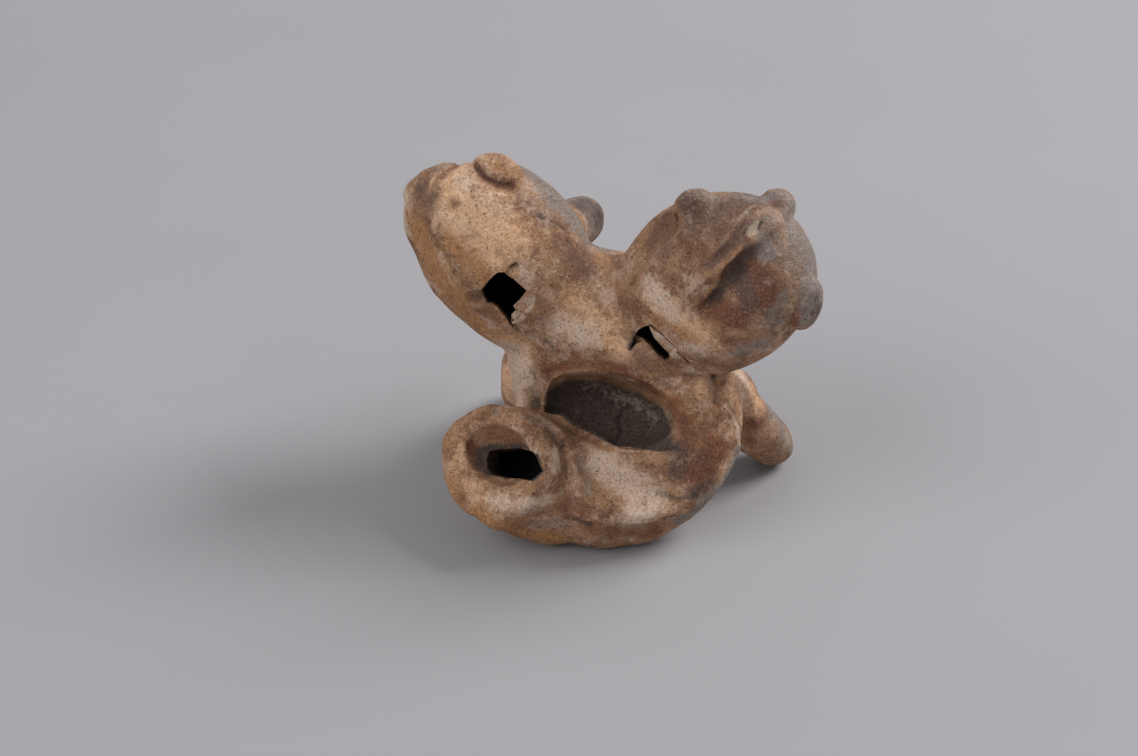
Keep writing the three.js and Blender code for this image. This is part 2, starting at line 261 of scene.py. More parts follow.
MOUTH = Vector((-9.6, -21.26, 15.2)) * MM
MOUTH_OUT = Vector((-0.25, -0.773, 0.583)).normalized()
MOUTH_SIDE = Vector((0, 0, 1)).cross(MOUTH_OUT).normalized()
MOUTH_UP = MOUTH_OUT.cross(MOUTH_SIDE)
MOUTH_TURN = turned_to(MOUTH_SIDE, MOUTH_UP, MOUTH_OUT)


def mouth_lump():
    """The collar of the mouth, pressed a little wider and lower than round."""
    lump = hull(corners_of("mouth_collar"), CLOSE)
    place = Matrix.Translation(MOUTH - MOUTH_SIDE * 0.5 * MM - MOUTH_UP * 0.3 * MM) @ MOUTH_TURN
    wider = Matrix.Diagonal((1.06, 0.95, 1, 1))
    press = place @ wider @ (Matrix.Translation(MOUTH) @ MOUTH_TURN).inverted()
    bmesh.ops.transform(lump, matrix=press, verts=lump.verts)
    return lump


large = [hull(corners_of(name), CLOSE) for name in ("left_chamber", "right_chamber", "body")]
large += [hull(corners_of("left_outer_ear"), WORN_STUB), mouth_lump()]
large += [foot(name) for name in FEET]
large += tail_lumps(CLOSE)
clay = knead(object_of("clay", large), COARSE, JOINT_PASSES)
print("large forms:", len(clay.data.vertices), "points")

# %% The thumb pit and the funnel of the mouth
PIT_OUT = PIT_SIDE.cross(PIT_UP)
PIT_TURN = turned_to(PIT_SIDE, PIT_UP, PIT_OUT)
PIT_MIDDLE = PIT - PIT_SIDE * 0.4 * MM
PIT_SIZE = (9.9, 5.3, 8.4)
FUNNEL_MIDDLE = MOUTH + (MOUTH_SIDE * 0.2 + MOUTH_UP * 1.2 + MOUTH_OUT * 1.0) * MM
FUNNEL_SIZE = (6.2, 4.4, 4.9)


def cut(name, lump):
    """Takes a lump out of the clay."""
    cutter = object_of(name, [lump])
    carve(clay, cutter)
    removed(cutter)
    print("cut", name, "->", len(clay.data.vertices), "points")


cut("pit", egg(PIT_MIDDLE + PIT_UP * 0.2 * MM, PIT_SIZE, PIT_TURN))
cut("funnel", egg(FUNNEL_MIDDLE, FUNNEL_SIZE, MOUTH_TURN))

# %% [markdown]
# The ears, knobs and crests are pressed on last and only lightly smoothed, so that a fine line stays round
# them. The left outer ear is worn down to a stub, so it went in with the large forms.

# %% The small forms
small = [name for name in frame["nodes"] if name.endswith(("_ear", "_knob"))]
# How much each is grown, and how far it is pressed to the camera's right and up (mm).
PRESSED = {
    "left_inner_ear": (-0.1, (0.4, -0.1)), "right_inner_ear": (0.15, (-0.3, -0.45)),
    "right_outer_ear": (0.0, (-0.2, -0.6)), "left_crest_knob": (0.1, (-0.9, -0.9)),
    "right_crest_knob": (0.3, (0, 0.1)), "left_outer_ear": (WORN_STUB / MM, (0, 0)),
}


def pressed(name, more=0.0):
    grow, (right, up) = PRESSED[name]
    step = (RIGHT * right + UP * up) * MM
    return hull([point + step for point in corners_of(name)], (grow + more) * MM)


pressed_on = [pressed(name) for name in small if name != "left_outer_ear"]
pressed_on += [copy_of("left_crest", 0.2 * MM), copy_of("right_crest", 0.05 * MM)]
extra = object_of("extra", pressed_on)
whole = bmesh.new()
whole.from_mesh(clay.data)
whole.from_mesh(extra.data)
whole.to_mesh(clay.data)
whole.free()
removed(extra)
knead(clay, FINE, LIGHT_PASSES)
print("all forms:", len(clay.data.vertices), "points")

# %% [markdown]
# ## Strokes of the fingers
#
# A stroke moves the points of the skin near a path: outwards for a ridge, inwards for a groove. Its path is a
# few pixels of the photograph, and its width and depth are real sizes. Points that face away from the stroke
# stay, so a stroke never reaches through the clay.

# %% Reading and writing the skin
def table(rows, key, columns, kind):
    """One property of a mesh's points or edges, a row for each."""
    flat = np.empty(len(rows) * columns, kind)
    rows.foreach_get(key, flat)
    return flat.reshape(-1, columns)


def points_of(mesh):
    return table(mesh.vertices, "co", 3, np.float32).astype(float)


def normals_of(mesh):
    return table(mesh.vertex_normals, "vector", 3, np.float32).astype(float)


def put_points(mesh, points):
    mesh.vertices.foreach_set("co", points.astype(np.float32).ravel())
    mesh.update()


def skin_tree(thing):
    return BVHTree.FromObject(thing, bpy.context.evaluated_depsgraph_get())


skin = points_of(clay.data)
facing = normals_of(clay.data)
first_ends, second_ends = table(clay.data.edges, "vertices", 2, np.int32).T.copy()
neighbour_count = np.bincount(np.append(first_ends, second_ends))
seen_skin = skin_tree(clay)


def seen(x, y):
    """Where a pixel's ray meets the clay, or passes nearest to it, and the way the clay faces there."""
    place, normal, _, _ = seen_skin.ray_cast(CAMERA_PLACE, ray(x, y))
    if place is None:
        reach, towards = skin - np.array(CAMERA_PLACE), np.array(ray(x, y))
        nearest = np.argmin(np.linalg.norm(np.cross(reach, towards), axis=1))
        place, normal = Vector(skin[nearest]), Vector(facing[nearest])
    return place, normal


def noise_at(points, size, seed):
    """Soft noise from -1 to 1 at every point, with lumps of about that size."""
    shift = Vector((seed * 7.3, seed * 3.1, seed * 5.7))
    return np.array([noise.noise(Vector(point / size) + shift) for point in points])


def neighbours_mean(values):
    """The mean of a value over the neighbours of every point of the skin."""
    total = np.bincount(first_ends, values[second_ends], len(values))
    total += np.bincount(second_ends, values[first_ends], len(values))
    return total / neighbour_count


def neighbours_middle(points):
    """The mean place of every point's neighbours."""
    return np.stack([neighbours_mean(axis) for axis in points.T], axis=1)


# %% The stroke itself
def distance_to(points, path):
    """How far every point lies from a path."""
    nearest = np.full(len(points), np.inf)
    for start, end in zip(path, path[1:]):
        start, step = np.array(start), np.array(end - start)
        share = np.clip((points - start) @ step / (step @ step), 0, 1)
        gap = np.linalg.norm(points - start - share[:, None] * step, axis=1)
        nearest = np.minimum(nearest, gap)
    return nearest


def near_to(points, path, reach):
    """The numbers of the points in the box round a path that is wider by reach."""
    low, high = np.min(path, axis=0) - reach, np.max(path, axis=0) + reach
    return np.nonzero(np.all((points > low) & (points < high), axis=1))[0]


def soft(away, width):
    """1 on the path, falling smoothly to 0 at the stroke's half width."""
    return np.clip(1 - (away / width) ** 2, 0, 1) ** 2


def path_on(pixels):
    """The path on the clay that runs through pixels of the photograph."""
    path = [seen(x, y)[0] for x, y in pixels]
    return path if len(path) > 1 else path + [path[0] + Vector((0.01 * MM, 0, 0))]


def outward_at(pixels):
    """The mean way that the clay faces along a path."""
    return sum((seen(x, y)[1] for x, y in pixels), Vector()).normalized()


def faces_it(near, outward):
    """1 where the clay faces a stroke, falling to 0 a little past the place where it stands sideways."""
    return np.clip((facing[near] @ np.array(outward) + 0.15) * 2, 0, 1)


def stroke(pixels, width, height):
    """Raises the clay along a path of pixels, or with a negative height presses it in. Sizes in mm."""
    path, outward = path_on(pixels), outward_at(pixels)
    near = near_to(skin, path, width * MM)
    push = soft(distance_to(skin[near], path), width * MM) * faces_it(near, outward) * height * MM
    skin[near] += facing[near] * push[:, None]


LIP_WIDTH = 0.9 * MM


def fold(pixels, width, depth, lip=0.0, steep=0.35):
    """Presses the clay in along the right side of a path: steeply at the path, then fading out to the width.
    A lip is raised along the path itself, and both taper off towards its ends. Sizes in mm."""
    path, outward = path_on(pixels), outward_at(pixels)
    near = near_to(skin, path, width * MM)
    points, length = skin[near], sum((end - start).length for start, end in zip(path, path[1:]))
    away, across, along = np.full(len(near), np.inf), np.zeros(len(near)), np.zeros(len(near))
    passed = 0.0
    for start, end in zip(path, path[1:]):
        step, ahead = (end - start).length, (end - start).normalized()
        right, start, ahead = np.array(ahead.cross(outward).normalized()), np.array(start), np.array(ahead)
        run = np.clip((points - start) @ ahead, 0, step)
        offset = points - start - run[:, None] * ahead
        gap = np.linalg.norm(offset, axis=1)
        closer = gap < away
        away[closer], across[closer] = gap[closer], (offset @ right)[closer]
        along[closer] = (passed + run[closer]) / length
        passed += step
    taper = np.clip(np.minimum(along, 1 - along) * 4, 0, 1) ** 0.7
    fall = np.clip(across / (steep * MM), 0, 1)
    press = -depth * fall * fall * (3 - 2 * fall) * soft(away, width * MM * (0.5 + 0.5 * taper))
    raised = lip * (1 - fall) * soft(away, LIP_WIDTH)
    skin[near] += facing[near] * ((press + raised) * taper * faces_it(near, outward) * MM)[:, None]


def soften(pixels, width, passes):
    """Smooths the skin near a path, as a wet finger does. The width is in mm."""
    path = path_on(pixels)
    near = near_to(skin, path, width * MM)
    share = np.zeros((len(skin), 1))
    share[near, 0] = soft(distance_to(skin[near], path), width * MM) * 0.5
    for _ in range(passes):
        skin[:] += (neighbours_middle(skin) - skin) * share


def refresh():
    """Writes the moved points to the mesh and reads how they face now."""
    global facing
    put_points(clay.data, skin)
    facing = normals_of(clay.data)


# %% [markdown]
# The curl was pinched between two thumbs. That left a shallow dent on its front, with a ridge above it
# that borders the pit and a ridge below it, and a thin rim at the right where the clay was drawn up.

# %% Strokes on the tail
stroke([(602, 468), (632, 484), (662, 488), (684, 474)], 4.8, -1.5)
stroke([(590, 456), (616, 480), (645, 500), (672, 500)], 3.4, -0.8)
stroke([(540, 385), (554, 372), (573, 366), (603, 368), (640, 380), (664, 397)], 3.6, -1.4)
stroke([(672, 420), (690, 436), (696, 458), (684, 480)], 2.6, -0.35)
soften([(542, 386), (552, 376), (570, 369), (603, 370), (640, 381), (664, 397), (678, 418)], 3.0, 70)
soften([(664, 414), (676, 432), (668, 452)], 3.4, 40)
soften([(560, 427), (590, 442), (620, 450), (648, 450)], 1.8, 10)
stroke([(561, 420), (576, 430), (593, 439), (606, 444)], 2.4, 1.2)
soften([(560, 428), (574, 437), (590, 445), (606, 452)], 2.0, 26)
stroke([(532, 402), (542, 402), (552, 403)], 2.8, -1.6)
soften([(543, 386), (543, 398), (546, 408)], 3.0, 60)
stroke([(742, 388), (747, 405), (748, 425), (746, 445)], 1.7, -1.3)
refresh()
fold([(662, 448), (640, 451), (620, 450), (604, 444), (590, 436), (574, 427), (558, 417)], 3.2, 0.7, 0.3)
fold([(550, 504), (572, 517), (593, 521), (615, 526), (637, 529), (663, 528), (688, 518), (708, 502)],
     2.6, 0.5, 0.3)
soften([(600, 523), (637, 529), (663, 528), (688, 518), (708, 502)], 1.6, 12)
stroke([(576, 468), (590, 490), (604, 510)], 1.3, 0.35)
fold([(733, 464), (738, 455), (739, 444), (738, 429), (732, 414), (722, 402)], 2.0, 0.9, 0.4)
stroke([(708, 374), (714, 378), (719, 385), (717, 393), (715, 402)], 1.1, -0.7)
stroke([(655, 494), (676, 499), (698, 494)], 1.6, -0.4)
refresh()

# %% Strokes round the mouth
stroke([(552, 430), (562, 445), (566, 462), (566, 480), (559, 494)], 1.4, -0.7)
stroke([(543, 402), (556, 404), (570, 409)], 1.8, -0.8)
stroke([(478, 520), (505, 527), (535, 522), (556, 512)], 1.6, -0.3)
stroke([(472, 446), (478, 462)], 2.0, -0.5)
refresh()

# %% Strokes that trim the outline
stroke([(432, 166), (446, 158), (460, 154), (478, 153)], 4.6, -1.7)
stroke([(410, 184), (418, 173), (432, 164)], 3.4, 0.9)
soften([(416, 180), (428, 170), (445, 162), (466, 155)], 3.6, 36)
stroke([(416, 252), (436, 288), (464, 322)], 7.0, -1.4)
stroke([(630, 256), (646, 236), (662, 214)], 5.0, -2.6)
stroke([(504, 352), (508, 368), (508, 380)], 3.6, -0.9)
stroke([(446, 420), (442, 440)], 3.0, 0.4)
stroke([(626, 545), (648, 540), (668, 530)], 6.0, -1.3)
stroke([(496, 530), (520, 538), (548, 544)], 4.0, 0.9)
stroke([(764, 384), (780, 405), (794, 430)], 4.0, -0.7)
refresh()

# %% [markdown]
# Each head has a thin crest. On the right head a finger has pulled the clay aside from the knob down to the
# cheek: it left a crisp pale lip, and a leaf-shaped hollow to the right of it.

# %% Strokes on the right head
soften([(744, 214), (756, 208), (766, 210), (776, 214)], 2.6, 16)
stroke([(762, 238), (752, 258), (740, 276), (726, 292), (712, 302)], 4.2, -1.0)
fold([(688, 311), (697, 307), (706, 299), (712, 291), (717, 283), (722, 273), (728, 264), (735, 256),
      (744, 246)], 5.5, 1.2, 0.45, 0.5)
fold([(710, 260), (722, 246), (732, 232), (741, 220), (750, 210), (762, 202)], 2.2, 0.42, 0.4, 0.5)
stroke([(753, 229)], 1.1, 0.2)
stroke([(780, 198), (786, 206)], 2.2, 0.45)
stroke([(684, 214), (700, 208), (712, 200)], 2.4, -0.6)
fold([(662, 217), (671, 213), (679, 209), (687, 205), (695, 200), (706, 195)], 1.2, 0.3, 0.1)
fold([(816, 284), (810, 289), (804, 297), (799, 307), (794, 320), (791, 331)], 1.4, 0.5)
refresh()

# %% Strokes on the left head
for _ in range(2):
    stroke([(492, 163), (500, 167), (510, 168)], 3.8, -0.75)
    soften([(488, 160), (500, 165), (514, 166)], 4.2, 14)
    refresh()
fold([(479, 160), (482, 166), (487, 169), (489, 173), (495, 174), (499, 178), (504, 177), (508, 180),
      (512, 177), (517, 178), (521, 172)], 2.2, 0.8, 0.5, 0.25)
stroke([(474, 164), (482, 175), (496, 184), (512, 187)], 1.5, -0.35)
stroke([(414, 246), (420, 232), (421, 205)], 1.3, -0.3)
stroke([(455, 201)], 1.6, 0.65)
stroke([(455, 201)], 0.6, -0.35)
stroke([(537, 216), (550, 221), (563, 229)], 0.6, -0.25)
refresh()

# %% Where the knife overran, beside the left window
stroke([(507, 275), (512, 269), (517, 264)], 1.3, -0.5)
stroke([(509, 266), (513, 262)], 0.6, 0.15)
stroke([(484, 294), (476, 297), (468, 299.5)], 1.2, -0.8)
stroke([(474, 306), (482, 308)], 1.1, 0.3)
stroke([(513.5, 326), (519.5, 334)], 0.5, -0.6)
refresh()

# %% Pores, chips and the crack in the pit
PORES = [(525, 210), (497, 258), (444, 221), (420, 233), (475, 251), (463, 242), (446, 461), (458, 492),
         (583, 419), (610, 511), (602, 512), (686, 226), (812, 314), (638, 376), (700, 232), (552, 346)]
for x, y in PORES:
    stroke([(x, y)], 0.45, -0.35)
stroke([(622, 412), (619, 421), (622, 430), (617, 441)], 0.6, -0.5)
stroke([(751, 223), (758, 226), (757, 233)], 0.5, -0.25)
refresh()

# %% [markdown]
# Clay is never quite even. Low noise gives the lumps that fingers leave, and finer noise gives the worn,
# grainy skin. This is real relief in the mesh, because it shows in the outline and in raking light.

# %% Unevenness of the skin: the size of its lumps and their height in mm, and a seed
LUMPS = ((9.0, 0.28, 1), (3.6, 0.12, 2), (1.5, 0.06, 3), (0.8, 0.03, 4))
# The clay under the pit's far rim has crumbled.
CRUMBLED = [(590, 386), (618, 394), (645, 408), (656, 418)]
CRUMBLED_WIDTH, CRUMB_SIZE, CRUMB_HEIGHT, CRUMB_SEED = 2.6 * MM, 0.9 * MM, 0.35 * MM, 5
for size, height, seed in LUMPS:
    skin += facing * (noise_at(skin, size * MM, seed) * height * MM)[:, None]
crumbly = soft(distance_to(skin, path_on(CRUMBLED)), CRUMBLED_WIDTH)
skin += facing * (noise_at(skin, CRUMB_SIZE, CRUMB_SEED) * crumbly * CRUMB_HEIGHT)[:, None]
refresh()
seen_skin = skin_tree(clay)
print("strokes done, skin box", skin.min(0).round(4), skin.max(0).round(4))

# %% [markdown]
# ## Knife cuts
#
# The sounding windows were cut with a knife through the soft wall, and the slot was pressed into the mouth
# with a flat stick. Each cut is an outline on the skin, drawn where the photograph shows it, and pushed
# inwards as a prism that the skin is then cut with.

# %% A prism from an outline
# How far a prism stands out of the skin (mm), so that it cuts cleanly.
OVER = 1.5


def prism(pixels, inwards, depth):
    """A closed prism: the outline on the skin, carried a little outwards, and depth inwards (mm)."""
    lump = bmesh.new()
    front = [lump.verts.new(seen(x, y)[0] - inwards * OVER * MM) for x, y in pixels]
    face = lump.faces.new(front)
    made = bmesh.ops.extrude_face_region(lump, geom=[face])["geom"]
    back = [part for part in made if isinstance(part, bmesh.types.BMVert)]
    bmesh.ops.translate(lump, vec=inwards * (depth + OVER) * MM, verts=back)
    bmesh.ops.recalc_face_normals(lump, faces=lump.faces)
    bmesh.ops.triangulate(lump, faces=lump.faces)
    return lump


LEFT_WINDOW = [
    (481, 290.5), (488, 281), (494, 275), (498, 272.5), (504, 272), (508.6, 276), (514, 279.3),
    (526.5, 290.5), (520, 299), (512.8, 306), (515.5, 310), (511, 315), (512, 324), (514, 329),
    (506, 318.5), (497, 307), (492, 303.5), (487, 303), (484, 297)]
RIGHT_WINDOW = [
    (635.5, 335), (638, 330), (642, 327.5), (648.4, 325), (651, 332), (654.3, 338.3), (661, 346),
    (669, 354), (669.3, 359), (665, 360.5), (658, 355.5), (650, 346), (642.5, 339), (638, 337.5)]
KNIFE = (FORWARD * 0.85 + Vector((0, 0.3, 0))).normalized()
WINDOW_DEPTH = 6.0


def line(start, end, thickness):
    """The outline of a thin cut from one pixel to another. The thickness is in pixels too."""
    start, end = np.array(start), np.array(end)
    along = (end - start) / np.linalg.norm(end - start)
    across = np.array((-along[1], along[0])) * thickness / 2
    narrow = across * 0.4
    return [start - across, end - narrow, end + narrow, start + across]


# %% [markdown]
# The knife ran past the corners of both windows. The far lip of each is shaved into a blade that splits the
# air, and shows as a pale step beside the hole.

# %% Knife marks: an outline on the photograph and a depth in mm
MARKS = {
    "left_notch": ([(505, 272.5), (510.5, 276.5), (517, 273), (518.5, 266), (516, 262), (511, 265.5)], 0.45),
    "left_chip": ([(526, 290.5), (531, 293), (533, 297), (531, 303), (524, 312), (517, 320), (512, 322),
                   (510, 309), (518, 299)], 0.4),
    "right_blade": ([(648.5, 325), (661.5, 334.5), (674, 348.5), (669, 355), (660, 347), (651, 337)], 0.4),
    "right_overcut": (line((677, 351.5), (689, 362.5), 2.4), 0.45),
    "right_blade_line": ([(648.5, 323.5), (656, 329), (661.5, 333.8), (667, 338.6), (675.5, 347.5),
                          (668, 341.2), (663, 336.8), (658.5, 333.4), (653, 329.5)], 0.8),
    "right_wedge": ([(642, 328), (637, 331), (634, 337), (630, 349.5), (636, 344), (643, 341.5)], 0.9),
}

# %% [markdown]
# The heads are hollow, because the air in them sounds. The photograph doesn't show how far the hollows go, so
# each is its head's own hull shrunk by a wall. The windway is a tube along a smooth curve from the slot.

# %% The hollows, the slot and the windway
WALL = 2.8 * MM
MOUTH_SLOT = [
    (486.5, 459), (489.5, 451), (500, 449), (518, 448), (533, 451.5), (537, 458), (542.5, 471),
    (536, 477), (530, 481), (519, 478.5), (504, 478), (492, 475), (487, 468)]
SLOT_DEPTH = 9.0
WINDWAY_RADIUS = 2 * MM
WINDWAY = [(-7.6, -15.4, 11), (-3, -14.4, 8.7), (3.2, -13.6, 7.9), (9.2, -11.9, 8), (14, -7.3, 11),
           (16, -2.9, 16.4), (12.6, 0, 22.4), (0.9, -1.9, 26.6)]


def tube(name, places, radius):
    """A closed tube through places given in mm."""
    curve = bpy.data.curves.new(name, "CURVE")
    curve.dimensions, curve.bevel_depth, curve.bevel_resolution = "3D", radius, 3
    curve.use_fill_caps, curve.resolution_u = True, 8
    spline = curve.splines.new("BEZIER")
    spline.bezier_points.add(len(places) - 1)
    for point, place in zip(spline.bezier_points, places):
        point.co = Vector(place) * MM
        point.handle_left_type = point.handle_right_type = "AUTO"
    thing = placed(name, curve)
    mesh = bpy.data.meshes.new_from_object(thing.evaluated_get(bpy.context.evaluated_depsgraph_get()))
    bpy.data.objects.remove(thing)
    lump = bmesh.new()
    lump.from_mesh(mesh)
    bmesh.ops.remove_doubles(lump, verts=lump.verts, dist=0.001 * MM)
    bmesh.ops.recalc_face_normals(lump, faces=lump.faces)
    bpy.data.meshes.remove(mesh)
    return lump


# %% Cut the clay
outside_points, outside_normals = skin.copy(), facing.copy()
cuts = {name: prism(outline, KNIFE, depth) for name, (outline, depth) in MARKS.items()}
cuts["slot"] = prism(MOUTH_SLOT, (FORWARD - MOUTH_OUT).normalized(), SLOT_DEPTH)
cuts["windway"] = tube("windway", WINDWAY, WINDWAY_RADIUS)
cuts.update({f"{side}_hollow": hull(corners_of(f"{side}_chamber"), -WALL) for side in ("left", "right")})
cuts["left_window"] = prism(LEFT_WINDOW, KNIFE, WINDOW_DEPTH)
cuts["right_window"] = prism(RIGHT_WINDOW, KNIFE, WINDOW_DEPTH)
for name, lump in cuts.items():
    cut(name, lump)

# %% [markdown]
# ## Separate pieces
#
# The whistle was built of lumps, and each lump stays an object of its own here. A region round each lump's
# solid cuts it out of the clay, so that neighbours share one face and their outsides run on without a step.

# %% Regions and pieces
# How much further than its lump each region reaches, in mm.
TAIL_ROOM, CREST_ROOM, FOOT_ROOM, PRESSED_ROOM, CHAMBER_ROOM = 1.3, 0.9, 0.7, 0.8, 1.7
CREST_MESH = 0.4 * MM
# The collar is the last slab of the mouthpiece: its width and depth in mm, and how far back it starts.
SLAB_WIDTH, SLAB_DEPTH, SLAB_BACK = 26, 8, 2.95


def region_of(name):
    """A closed lump that holds all of the clay that belongs to a node."""
    if name == "tail":
        return knead(object_of("region", tail_lumps(TAIL_ROOM * MM)), COARSE, 0)
    if name.endswith("_crest"):
        return knead(object_of("region", [copy_of(name, CREST_ROOM * MM)]), CREST_MESH, 0)
    if name in FEET:
        lump = foot(name, FOOT_ROOM)
    elif name in PRESSED:
        lump = pressed(name, PRESSED_ROOM)
    elif name == "mouth_collar":
        lump = bmesh.new()
        bmesh.ops.create_cube(lump, size=1)
        size = Matrix.Diagonal((SLAB_WIDTH * MM, SLAB_WIDTH * MM, SLAB_DEPTH * MM, 1))
        middle = Matrix.Translation(MOUTH + MOUTH_OUT * (SLAB_DEPTH / 2 - SLAB_BACK) * MM)
        bmesh.ops.transform(lump, matrix=middle @ MOUTH_TURN @ size, verts=lump.verts)
    else:
        lump = hull(corners_of(name), CHAMBER_ROOM * MM)
    return object_of("region", [lump])


order = ["mouth_collar"] + small + ["left_crest", "right_crest"]
order += [name for name in frame["nodes"] if name.endswith("_foot")]
order += ["tail", "left_chamber", "right_chamber"]
pieces = {}
for name in order:
    region = region_of(name)
    pieces[name] = carve(placed("piece", clay.data.copy()), region, "INTERSECT")
    carve(clay, region)
    removed(region)
pieces["body"] = clay

# %% Stray crumbs
# A loose part of a piece with fewer points than this is a crumb that the cuts have left.
SMALLEST = 150


def islands(lump):
    """The loose parts of a lump, each as a list of its points."""
    found, waiting = [], set(lump.verts)
    while waiting:
        island = [waiting.pop()]
        for vert in island:
            beside = {edge.other_vert(vert) for edge in vert.link_edges} & waiting
            waiting -= beside
            island.extend(beside)
        found.append(island)
    return found


for name, piece in pieces.items():
    lump = bmesh.new()
    lump.from_mesh(piece.data)
    found = islands(lump)
    crumbs = [vert for island in found if len(island) < SMALLEST for vert in island]
    print(f"{name:18s} {len(lump.verts):7d} points, {len(found)} loose parts, {len(crumbs)} points of crumbs")
    if crumbs:
        bmesh.ops.delete(lump, geom=crumbs, context="VERTS")
        lump.to_mesh(piece.data)
    lump.free()
